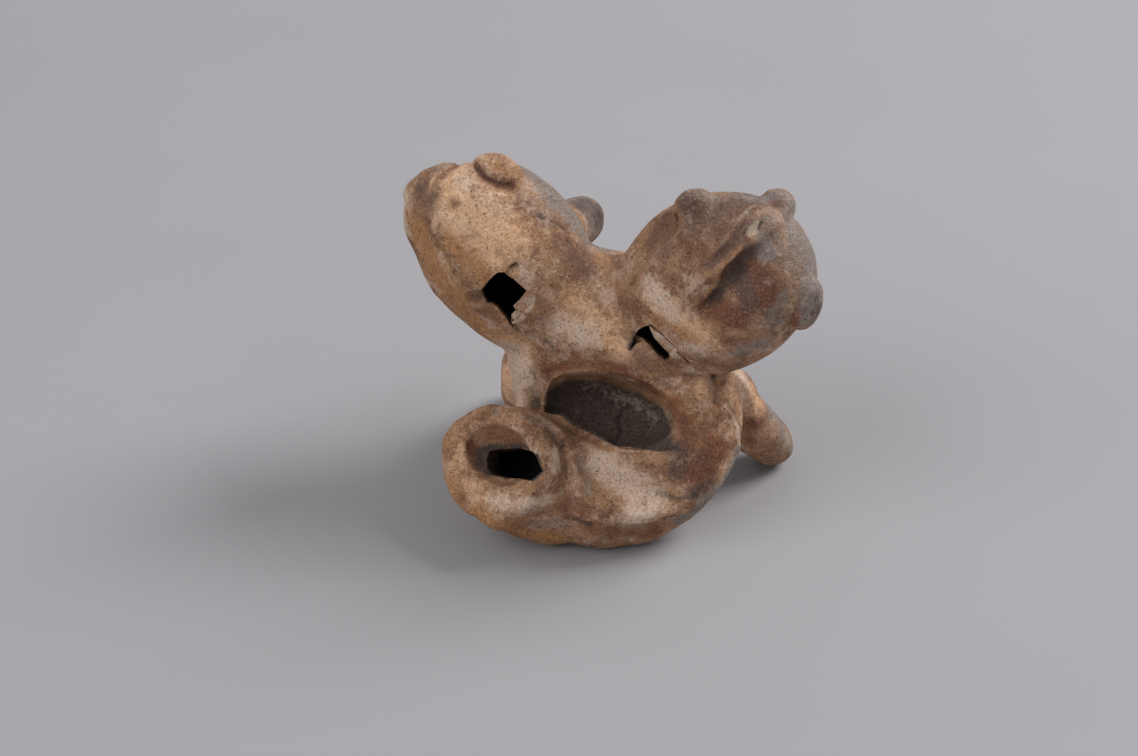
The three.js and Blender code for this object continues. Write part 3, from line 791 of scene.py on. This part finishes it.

# %% [markdown]
# ## The colours of the fire
#
# Low-fired clay is never one colour. The fire leaves grey clouds and red-brown patches, handling polishes the
# heads, and soil stains the hollows. Painted shade darkens the hollows, the thumb pit, the funnel, the
# grooves and the insides of the walls, and painted light makes the column beside the pit paler. Each of these
# is a mask, painted on the points of the mesh round spots that the photograph shows, and the material mixes
# its colours by the masks.

# %% Masks: each spot is how far it spreads in mm, how strong it is, and the pixels of its path
# Most spots are colours of the clay. The entries on the column left of the pit, in buff, pale and crumbs, are
# its pale clay made paler still as painted light.
SPOTS = {"buff": [
    (5.2, 1.0, (448, 190), (470, 222), (498, 246)), (2.4, 0.5, (500, 200), (515, 240)),
    (2.4, 0.5, (440, 262), (462, 300)), (3.6, 0.7, (570, 305), (600, 325), (622, 345)),
    (2.6, 0.8, (655, 300), (690, 325), (712, 344)), (2.4, 0.52, (455, 440), (458, 480), (500, 505)),
    (3.2, 1.0, (514, 345), (512, 400)), (2.0, 0.6, (700, 390), (715, 372)),
    (3.0, 0.5, (752, 400), (776, 428)), (2.0, 0.5, (500, 345), (480, 325)),
    (3.0, 0.5, (600, 460), (660, 515)),
# In pale, the cream edge of the chip beside the left window is a painted highlight.
], "pale": [
    (2.8, 0.5, (460, 180), (478, 195), (500, 205)), (2.6, 0.35, (440, 215), (472, 236)),
    (1.5, 0.9, (404, 193), (403, 212), (407, 230)), (1.6, 0.55, (521, 268), (530, 284)),
    (0.4, 1.3, (533, 298), (531, 305), (527, 311)), (0.6, 1.2, (514, 314), (513, 321), (521, 317)),
    (1.0, 0.5, (521, 303), (517, 316)), (1.6, 0.4, (472, 312), (482, 322)),
    (3.2, 1.0, (512, 350), (512, 375), (516, 397)), (2.2, 0.9, (524, 362), (526, 384)),
    (3.0, 0.65, (560, 325), (590, 335)), (2.6, 0.35, (590, 285), (606, 298)),
    (2.2, 0.75, (650, 286), (662, 300), (672, 314)), (0.8, 1.6, (655, 335), (663, 343), (672, 352)),
    (2.0, 0.6, (690, 348), (704, 352)), (3.2, 0.85, (602, 462), (625, 480), (650, 500), (636, 516)),
    (2.2, 0.6, (492, 501), (520, 508), (545, 500)), (1.3, 0.6, (553, 470), (556, 452)),
    (0.5, 0.9, (726, 405), (737, 425), (739, 446)), (1.8, 0.75, (740, 374), (742, 400)),
    (0.8, 1.8, (752, 231), (755, 227)), (3.4, 0.8, (512, 352), (516, 394)),
    (1.2, 0.5, (672, 395), (685, 388)), (1.6, 0.5, (700, 372), (684, 366)),
], "ochre": [
    (3.4, 1.0, (418, 232), (432, 262), (452, 292), (478, 322)),
    (3.0, 0.6, (450, 242), (470, 262), (482, 276)), (2.4, 0.6, (455, 288), (470, 305)),
    (2.2, 0.5, (448, 440), (446, 465), (456, 490)),
    (2.2, 0.75, (480, 514), (500, 526), (530, 534), (560, 541)),
    (1.8, 0.75, (672, 400), (688, 420), (694, 442)), (1.8, 0.5, (655, 320), (676, 328), (692, 338)),
    (0.7, 0.6, (740, 250), (722, 270), (712, 290), (698, 306)),
    (1.2, 0.6, (487, 160), (496, 167), (508, 171)), (0.9, 0.6, (578, 437), (600, 447), (622, 450)),
    (1.7, 0.5, (478, 438), (498, 433), (522, 439)), (1.8, 0.5, (520, 520), (545, 524)),
    (1.4, 0.5, (640, 400), (660, 395)), (2.4, 0.4, (566, 300), (572, 312)),
    (1.6, 0.5, (500, 334), (486, 342)),
# Red-brown patches of the fire; the crescent under the left ear pad and the strip under the tail are painted
# shade.
], "rust_and_shade": [
    (3.8, 1.1, (752, 268), (758, 298)), (2.4, 1.0, (712, 307), (740, 318)), (1.8, 0.7, (727, 341)),
    (3.0, 0.55, (690, 240), (700, 258)), (2.8, 0.62, (676, 408), (686, 430), (690, 450)),
    (3.2, 0.85, (700, 474), (716, 446)),
    (1.6, 0.7, (548, 371), (575, 364), (600, 366), (632, 373), (655, 392)),
    (3.4, 0.5, (558, 250), (590, 256)), (2.0, 0.6, (566, 505), (590, 527), (622, 533), (655, 532)),
    (0.6, 1.0, (476, 165), (484, 177), (498, 185), (513, 186)), (0.5, 1.2, (512, 268), (516, 265)),
    (0.6, 0.7, (516, 304), (523, 298)), (0.3, 1.2, (680, 354), (689, 363)),
    (1.6, 0.6, (455, 167), (440, 178)), (1.8, 0.5, (415, 208), (428, 222)),
    (1.0, 0.9, (794, 324), (800, 307)), (2.0, 0.7, (757, 424), (770, 410)), (1.4, 0.6, (455, 201)),
    (1.0, 0.7, (470, 300), (480, 297)), (2.2, 0.55, (580, 205), (590, 198)), (1.6, 0.4, (590, 222)),
    (1.4, 0.6, (462, 498)), (1.4, 0.8, (472, 446), (480, 466)),
    (1.6, 0.55, (482, 442), (500, 438), (520, 441)), (1.8, 0.4, (700, 365), (720, 352)),
    (0.8, 0.6, (672, 212), (664, 216)),
], "plum": [
    (2.8, 0.65, (420, 190), (428, 204), (434, 192)), (2.6, 0.6, (560, 248), (578, 258), (590, 268)),
    (1.8, 0.4, (540, 300), (548, 322), (536, 336)), (2.0, 0.5, (640, 352), (650, 368)),
    (4.2, 0.8, (688, 196), (700, 214), (732, 204), (752, 199)), (2.2, 0.6, (712, 232), (735, 227)),
    (1.2, 0.8, (748, 222), (738, 236), (724, 252), (711, 264)), (1.6, 0.75, (690, 495), (712, 482)),
    (3.0, 0.5, (666, 220), (656, 238), (668, 252)), (2.2, 0.5, (762, 284), (778, 270)),
    (2.4, 0.6, (680, 198)), (2.2, 0.85, (772, 202), (787, 208)), (2.4, 0.4, (610, 262), (622, 270)),
    (3.0, 0.45, (690, 430), (700, 465)), (2.6, 0.75, (736, 275), (748, 300)),
    # The plum at the pit's right end carries on the pit's painted shade.
    (2.2, 0.8, (668, 428), (680, 452), (676, 470)), (3.0, 0.35, (760, 420), (785, 440)),
], "grey": [
    (4.4, 0.85, (532, 172), (556, 198), (580, 224), (602, 246)), (7.0, 0.75, (575, 200), (596, 216)),
    (2.2, 0.45, (530, 196), (548, 222)), (3.2, 0.6, (775, 220), (782, 244), (792, 262)),
    (3.4, 0.7, (772, 412), (792, 442)), (4.6, 0.85, (798, 234), (812, 262), (816, 288)),
    (2.4, 0.6, (785, 300), (776, 320)), (2.4, 0.55, (764, 342), (735, 354)),
    (2.4, 1.0, (816, 296), (815, 316)), (1.8, 0.8, (768, 196), (780, 193), (792, 204), (798, 226)),
    (2.0, 0.55, (704, 195), (735, 194), (758, 200)), (1.6, 0.55, (668, 203), (682, 192), (696, 191)),
    (1.3, 0.5, (526, 417), (548, 430), (557, 444)), (1.2, 0.5, (498, 411)),
    (1.4, 0.5, (579, 460), (588, 490)), (1.5, 0.9, (737, 452), (727, 475), (705, 500), (680, 520)),
    (1.4, 0.5, (520, 528), (560, 522)), (1.0, 0.6, (747, 213)), (2.0, 0.75, (765, 238), (769, 254)),
    (1.2, 0.5, (440, 168), (452, 162)), (1.0, 0.4, (708, 382), (716, 396)),
# Soot and fire clouds, and painted shade: round the mouth's funnel and slot, in the crescent under the left
# ear pad, in the fold of the right head, the wedge by the right window, and in grooves and crevices.
], "soot_and_shade": [
    (2.0, 0.6, (538, 404), (552, 402)), (1.6, 0.6, (664, 416), (668, 440)),
    (1.6, 1.0, (484, 454), (486, 462), (490, 470)), (0.9, 1.0, (490, 449), (520, 448)),
    (0.4, 0.9, (524, 446), (537, 456), (542, 471), (534, 479), (505, 478)),
    (4.5, 0.62, (578, 204), (599, 214)), (0.8, 1.4, (484, 458), (487, 468)),
    (1.4, 0.5, (818, 296), (818, 312)), (1.6, 0.6, (752, 246), (738, 268), (726, 284), (712, 300)),
    (0.3, 0.6, (743, 234), (746, 229)), (0.35, 0.9, (758, 229), (761, 223)),
    (0.35, 0.6, (477, 168), (486, 178), (499, 184), (512, 185)),
    (0.6, 0.4, (545, 340), (552, 347), (558, 353)), (0.4, 0.45, (537, 216), (550, 221), (563, 229)),
    (0.8, 0.75, (635, 334), (631, 346)), (0.6, 0.9, (713, 377)), (0.35, 1.2, (634, 339), (630, 349)),
    (0.3, 1.1, (651, 326), (662, 335)), (0.8, 0.5, (658, 493), (678, 499), (696, 495)),
    (0.6, 0.6, (472, 299), (483, 296)), (0.6, 0.5, (508, 271), (516, 264)),
    (0.7, 0.5, (575, 519), (592, 525)), (0.6, 0.5, (562, 440), (565, 470)), (0.35, 0.7, (812, 314)),
    (0.8, 0.5, (686, 226), (680, 234)),
# Crumbled clay; the entry on the column left of the pit is painted light.
], "crumbs": [
    (1.9, 0.85, (590, 386), (615, 394), (640, 406), (656, 418)),
    (0.4, 0.9, (492, 477), (510, 480), (530, 482)), (0.6, 1.0, (561, 493)), (0.8, 1.7, (753, 229)),
    (0.8, 0.8, (403, 190), (402, 212), (406, 228)), (0.7, 0.7, (688, 205), (694, 199)),
    (1.2, 0.5, (552, 346), (566, 340)), (0.5, 0.9, (531, 297), (528, 308)),
    (0.25, 0.6, (722, 402), (733, 414), (738, 428), (739, 444)), (2.8, 0.6, (512, 356), (515, 392)),
    (2.4, 0.35, (596, 455), (650, 500)), (2.4, 0.35, (795, 250), (806, 275)),
    (2.4, 0.4, (574, 335), (600, 342)),
]}

# %% How hollow each point lies: above 0 in a hollow, below 0 on a ridge
EVENING_PASSES = 6
hollow = ((neighbours_middle(outside_points) - outside_points) * outside_normals).sum(1) / FINE ** 2
for _ in range(EVENING_PASSES):
    hollow = (hollow + neighbours_mean(hollow)) / 2
print("hollowness per mm: from", round(float(hollow.min()) * MM, 3), "to", round(float(hollow.max()) * MM, 3))

skin_search = KDTree(len(outside_points))
for number, point in enumerate(outside_points):
    skin_search.insert(point, number)
skin_search.balance()

# %% The soot and painted shade in the pit
# The rims of the pit in the photograph: the places across, and the heights there.
UPPER_RIM = ((530, 540, 552, 568, 603, 638, 662, 684), (406, 392, 381, 374, 375, 387, 402, 440))
LOWER_RIM = ((530, 556, 571, 591, 615, 635, 660, 684), (408, 414, 423, 435, 447, 449, 453, 452))
LEFT_END, RIGHT_END = 537, 686
# Over how many pixels the soot and painted shade fade at the upper rim, the lower rim, the left end and the
# right end.
UPPER_FADE, LOWER_FADE, LEFT_FADE, RIGHT_FADE = 12, 2.5, 18, 24
# How far the lower rim stands out of the pit's middle, against the place along the pit, in mm.
RIM_OUT = ((-9, -7, -3.6, 0.7, 6.7, 9.6), (3.0, 2.5, 2.1, 1.3, -0.2, -1.9))
# How far behind that rim, in mm, the soot and painted shade start that the photograph doesn't show.
HIDDEN_FROM = 3.4
# How far the seen and the hidden soot and painted shade reach, as a share of the pit's size.
SEEN_REACH, HIDDEN_REACH = 1.6, 1.15


def picture_of(points):
    """The pixels of the photograph where points show."""
    reach = points - np.array(CAMERA_PLACE)
    scale = FOCAL / (reach @ np.array(FORWARD))
    return PHOTO_WIDTH / 2 + reach @ np.array(RIGHT) * scale, PHOTO_HEIGHT / 2 - reach @ np.array(UP) * scale


def rise(value, width):
    """0 up to 0, 1 from the width on, and straight between them."""
    return np.clip(value / width, 0, 1)


def pit_soot_and_shade(points, normals):
    """The soot and painted shade in the thumb pit: they grow from the upper rim downwards, and stop at the
    lower rim. The wall behind the lower rim that faces up gets them too."""
    inside = (points - np.array(PIT_MIDDLE)) @ np.array((PIT_SIDE, PIT_UP, PIT_OUT)).T / MM
    away = np.linalg.norm(inside / PIT_SIZE, axis=1)
    x, y = picture_of(points)
    upper, lower = np.interp(x, *UPPER_RIM), np.interp(x, *LOWER_RIM)
    shown = rise(y - upper, UPPER_FADE) * rise(lower - y, LOWER_FADE) * rise(SEEN_REACH - away, 0.3)
    shown *= rise(x - LEFT_END, LEFT_FADE) * rise(RIGHT_END - x, RIGHT_FADE)
    behind = np.interp(inside[:, 0], *RIM_OUT) - inside[:, 2]
    hidden = rise(behind - HIDDEN_FROM, 0.8) * rise(HIDDEN_REACH - away, 0.06)
    hidden *= rise(y - (upper + lower) / 2, 6) * rise(normals @ np.array(PIT_UP) - 0.15, 0.2)
    return np.maximum(shown, hidden)


# %% Painting a piece
# A wall turns dark between half and one and a half times this far from the outer skin: painted shade deep in
# the hollows, windows and slot.
WALL_SHOWS = 0.65 * MM
# At this many times its spread a spot has faded out.
FADED = 2.2


def paint(mesh):
    """Puts every mask on the mesh as an attribute of its points."""
    points = points_of(mesh)
    found = [skin_search.find(point) for point in points]
    nearest = np.array([number for _, number, _ in found])
    gap = np.array([distance for _, _, distance in found])
    # The inside value is what the finish paints dark as painted shade.
    values = {"hollow": hollow[nearest] * MM, "inside": np.clip(gap / WALL_SHOWS - 0.5, 0, 1)}
    for name, spots in SPOTS.items():
        mask = np.zeros(len(points))
        for spread, strength, *pixels in spots:
            path = path_on(pixels)
            near = near_to(points, path, spread * FADED * MM)
            away = distance_to(points[near], path) / (spread * MM)
            mask[near] = np.maximum(mask[near], strength * np.exp(-away ** 2))
        values[name] = mask
    # The soot and painted shade of the pit join the spots of the soot mask.
    values["soot_and_shade"] = np.maximum(values["soot_and_shade"], pit_soot_and_shade(points, normals_of(mesh)))
    for name, value in values.items():
        attribute = mesh.attributes.new(name, "FLOAT", "POINT")
        attribute.data.foreach_set("value", value.astype(np.float32))


# %% [markdown]
# ## The clay's finish
#
# The finish is built from plain arithmetic on masks and noise. A small class wraps a socket, so that a sum or
# a product of two sockets adds the Math node for it, and one method adds any other node.

# %% Arithmetic on sockets
class Number:
    """A number socket that takes part in Python's own arithmetic."""

    def __init__(self, finish, socket):
        self.finish, self.socket = finish, socket

    def _math(self, operation, first, second):
        node = self.finish.add("ShaderNodeMath", {"operation": operation}, {0: first, 1: second})
        return Number(self.finish, node.outputs[0])

    def __add__(self, other):
        return self._math("ADD", self, other)

    __radd__ = __add__

    def __sub__(self, other):
        return self._math("SUBTRACT", self, other)

    def __rsub__(self, other):
        return self._math("SUBTRACT", other, self)

    def __mul__(self, other):
        return self._math("MULTIPLY", self, other)

    __rmul__ = __mul__


class Finish:
    """A material under construction."""

    def __init__(self, name):
        self.material = bpy.data.materials.new(name)
        self.material.use_nodes = True
        self.tree = self.material.node_tree
        self.shader = self.tree.nodes["Principled BSDF"]
        self.place = self.add("ShaderNodeTexCoord").outputs["Object"]

    def add(self, kind, settings=None, inputs=None):
        """A node of a kind, with its settings made first and its sockets then filled or linked."""
        node = self.tree.nodes.new(kind)
        for key, value in (settings or {}).items():
            setattr(node, key, value)
        return self.fill(node, inputs or {})

    def fill(self, node, inputs):
        """Links a node's sockets to other sockets, or sets them to values."""
        for key, value in inputs.items():
            socket = node.inputs[key]
            value = value.socket if isinstance(value, Number) else value
            if isinstance(value, bpy.types.NodeSocket):
                self.tree.links.new(value, socket)
            else:
                socket.default_value = value
        return node

    def noise(self, size, detail, rough=0.55, seed=0):
        """Noise from 0 to 1 with lumps of a size in mm. Each seed gives another pattern."""
        sockets = {"Vector": self.place, "W": seed * 3.7, "Scale": 1 / (size * MM), "Detail": detail,
                   "Roughness": rough}
        return Number(self, self.add("ShaderNodeTexNoise", {"noise_dimensions": "4D"}, sockets).outputs[0])

    def cells(self, size):
        """The distance from the nearest of many scattered points, about 1 at the edge of a cell."""
        sockets = {"Vector": self.place, "Scale": 1 / (size * MM)}
        return Number(self, self.add("ShaderNodeTexVoronoi", {}, sockets).outputs["Distance"])

    def mask(self, name):
        """A mask that is painted on the points."""
        node = self.add("ShaderNodeAttribute", {"attribute_name": name})
        return Number(self, node.outputs["Fac"])

    def ramp(self, value, low, high):
        """0 below low, 1 above high, and smooth between them."""
        sockets = {"Value": value, "From Min": low, "From Max": high}
        node = self.add("ShaderNodeMapRange", {"interpolation_type": "SMOOTHSTEP"}, sockets)
        return Number(self, node.outputs[0])

    def mix(self, share, first, second):
        """Two colours mixed. A Mix node's sockets 0, 6 and 7 are its factor and its colours."""
        sockets = {0: share, 6: first, 7: second}
        return self.add("ShaderNodeMix", {"data_type": "RGBA"}, sockets).outputs[2]


def tint(red, green, blue):
    """A colour from its 0 to 255 screen values."""
    return tuple(((c / 255 + 0.055) / 1.055) ** 2.4 for c in (red, green, blue)) + (1,)


# %% [markdown]
# All four finishes are the same fired clay and run into each other over the joints, so one function makes
# them. They differ a little in how rough and how pitted they are.

# %% The clay: each shade from its dark to its light
SHADES = {
    "clay": (tint(146, 106, 77), tint(182, 141, 108)), "brown": (tint(102, 70, 51), tint(130, 92, 68)),
    "rose": (tint(186, 150, 126), tint(216, 186, 162)), "buff": (tint(210, 160, 120), tint(242, 198, 160)),
    "pale": (tint(192, 160, 138), tint(226, 202, 180)), "ochre": (tint(150, 98, 58), tint(190, 140, 94)),
    "rust_and_shade": (tint(96, 56, 38), tint(134, 84, 58)), "plum": (tint(88, 66, 58), tint(120, 92, 80)),
    "grey": (tint(114, 102, 96), tint(150, 138, 130)), "soot_and_shade": (tint(50, 42, 40), tint(88, 76, 71)),
}
CREAM, EARTH, PORE, INNER_SHADE = tint(222, 204, 182), tint(78, 54, 41), tint(44, 32, 27), tint(7, 6, 5)
CRUMB = tint(168, 152, 136)
RELIEF, SHINE = 0.19 * MM, 0.3


def clay_finish(name, pitting, roughness):
    """Fired clay: even colours first, then the painted masks, then wear, soil and painted shade in the
    hollows, specks, soot and painted shade, crumbs and painted light, pores, and last painted shade deep
    inside the walls.
    """
    finish = Finish(name)
    patch = finish.noise(2.4, 9, 0.72, 1)
    fine, grain = finish.noise(0.55, 3, 0.6, 2), finish.noise(0.3, 2, 0.5, 3)
    speckle = finish.ramp(fine * 0.5 + grain * 0.5, 0.34, 0.66)

    def layer(below, share, shade):
        """A share of one shade, itself speckled from its dark to its light, over the colour below."""
        dark, light = SHADES[shade]
        return finish.mix(share, below, finish.mix(speckle, dark, light))

    colour = finish.mix(speckle, *SHADES["clay"])
    blotches = finish.ramp(finish.noise(4.5, 9, 0.72, 4), 0.47, 0.58)
    bloom = finish.ramp(finish.noise(3.6, 9, 0.74, 5), 0.5, 0.6)
    colour = layer(colour, blotches * 0.7, "brown")
    colour = layer(colour, bloom * 0.6, "rose")

    def masked(below, mask):
        """The shade of a painted mask, whose edge the noise breaks up."""
        broken = finish.mask(mask) * 1.2 + (patch - 0.5) * 1.6 + (fine - 0.5) * 0.5
        share = finish.ramp(broken, 0.2, 0.95) * finish.ramp(finish.mask(mask), 0.03, 0.25)
        return layer(below, share * 0.94, mask)

    for mask in ("buff", "pale", "ochre", "rust_and_shade", "plum", "grey"):
        colour = masked(colour, mask)
    colour = layer(colour, blotches * finish.ramp(finish.noise(1.7, 6, 0.7, 9), 0.5, 0.58) * 0.45, "brown")
    colour = layer(colour, bloom * finish.ramp(finish.noise(1.5, 6, 0.7, 10), 0.5, 0.58) * 0.4, "rose")
    worn = finish.ramp(finish.mask("hollow") * -1 + (fine - 0.5) * 0.3, 0.16, 0.6) * 0.35
    colour = finish.mix(worn, colour, SHADES["rose"][1])
    # The hollows turn brown: soil and painted shade.
    soil_and_shade = finish.ramp(finish.mask("hollow") + (fine - 0.5) * 0.3, 0.1, 0.45) * 0.65
    colour = finish.mix(soil_and_shade, colour, SHADES["brown"][0])
    light_specks = finish.ramp(finish.noise(0.34, 2, 0.6, 6), 0.56, 0.74) * 0.26
    # Soot and painted shade from the soot mask go over the clay here.
    colour = masked(finish.mix(light_specks, colour, CREAM), "soot_and_shade")
    dark_specks = finish.ramp(finish.noise(0.4, 3, 0.6, 7), 0.56, 0.68) * 0.5
    colour = finish.mix(dark_specks, colour, EARTH)
    # The crumbs mask is crumbled clay, and painted light on the column left of the pit.
    crumbs = finish.mask("crumbs") * 0.9 + (fine - 0.5) * 1.8 + (patch - 0.5) * 1.4
    colour = finish.mix(finish.ramp(crumbs, 0.4, 1.2) * 0.7, colour, CRUMB)
    ragged = finish.cells(0.7) + (grain - 0.5) * 0.7
    pores = finish.ramp(ragged, 0.22, 0.08) * finish.ramp(finish.noise(1.6, 3, 0.6, 8), 0.5, 0.6)
    colour = finish.mix(pores * pitting, colour, PORE)
    # Clay deep inside the wall is painted nearly black: painted shade in the hollows, windows and slot.
    colour = finish.mix(finish.ramp(finish.mask("inside"), 0.1, 0.9), colour, INNER_SHADE)
    rough = roughness + (patch - 0.5) * 0.3 - finish.mask("rust_and_shade") * 0.08
    relief = fine * 0.9 + grain * 0.5 - pores * 0.9 + patch * 0.9 + light_specks * 0.5 - dark_specks * 0.4
    bump = finish.add("ShaderNodeBump", {}, {"Height": relief, "Distance": RELIEF, "Strength": 0.9})
    finish.fill(finish.shader, {"Base Color": colour, "Roughness": rough, "Specular IOR Level": SHINE,
                                "Normal": bump.outputs[0]})
    return finish.material


# How strong the pores of each finish are, and how rough it is.
KINDS = {"buff_clay": (0.6, 0.86), "burnished_clay": (0.4, 0.7), "pale_clay": (0.7, 0.9),
         "grey_clay": (0.5, 0.84)}
FINISHES = {name: clay_finish(name, *kind) for name, kind in KINDS.items()}
print("finishes:", ", ".join(FINISHES))

# %% Dress every piece
SLOTS = {part["node"]: part["material_slot"] for part in frame["record"]["subparts"]}
SHARP = math.radians(50)
for name, piece in pieces.items():
    piece.name = piece.data.name = f"clay_{name}"
    paint(piece.data)
    piece.data.shade_smooth()
    piece.data.set_sharp_from_angle(angle=SHARP)
    piece.data.materials.clear()
    piece.data.materials.append(FINISHES[SLOTS[name]])
    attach(piece, "root")
    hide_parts(name)
print("pieces:", len(pieces))

# %% [markdown]
# ## Floor and light
#
# The whistle stands on a pale grey sheet in soft light from a window behind and to the right, with a wide
# soft fill from the front.

# %% The floor
FLOOR, MOTTLE = 3.0, 60
sheet = bmesh.new()
bmesh.ops.create_grid(sheet, x_segments=2, y_segments=2, size=FLOOR)
floor = object_of("floor", [sheet])
floor_finish = Finish("floor")
floor_colour = floor_finish.mix(floor_finish.noise(MOTTLE, 2), tint(162, 160, 163), tint(167, 165, 168))
floor_finish.fill(floor_finish.shader, {"Base Color": floor_colour, "Roughness": 0.9})
floor.data.materials.append(floor_finish.material)
print("floor:", FLOOR * 2, "m wide")

# %% The lights
AIM = Vector((0, 0, 0.03))


def soft_light(name, place, size, power):
    """A square lamp that looks at the middle of the whistle. The place is in metres."""
    lamp = bpy.data.lights.new(name, "AREA")
    lamp.size, lamp.energy = size, power
    thing = placed(name, lamp)
    thing.location = place
    thing.rotation_euler = (AIM - Vector(place)).to_track_quat("-Z", "Y").to_euler()


soft_light("window", (0.7, 0.6, 0.9), 0.6, 13)
soft_light("fill", (-0.65, -0.9, 0.95), 1.0, 7.5)
world = bpy.data.worlds.new("room")
world.use_nodes = True
sky = world.node_tree.nodes["Background"]
sky.inputs["Color"].default_value = (0.95, 0.97, 1.0, 1)
sky.inputs["Strength"].default_value = 0.38
bpy.context.scene.world = world
bpy.context.scene.view_settings.view_transform = "Standard"
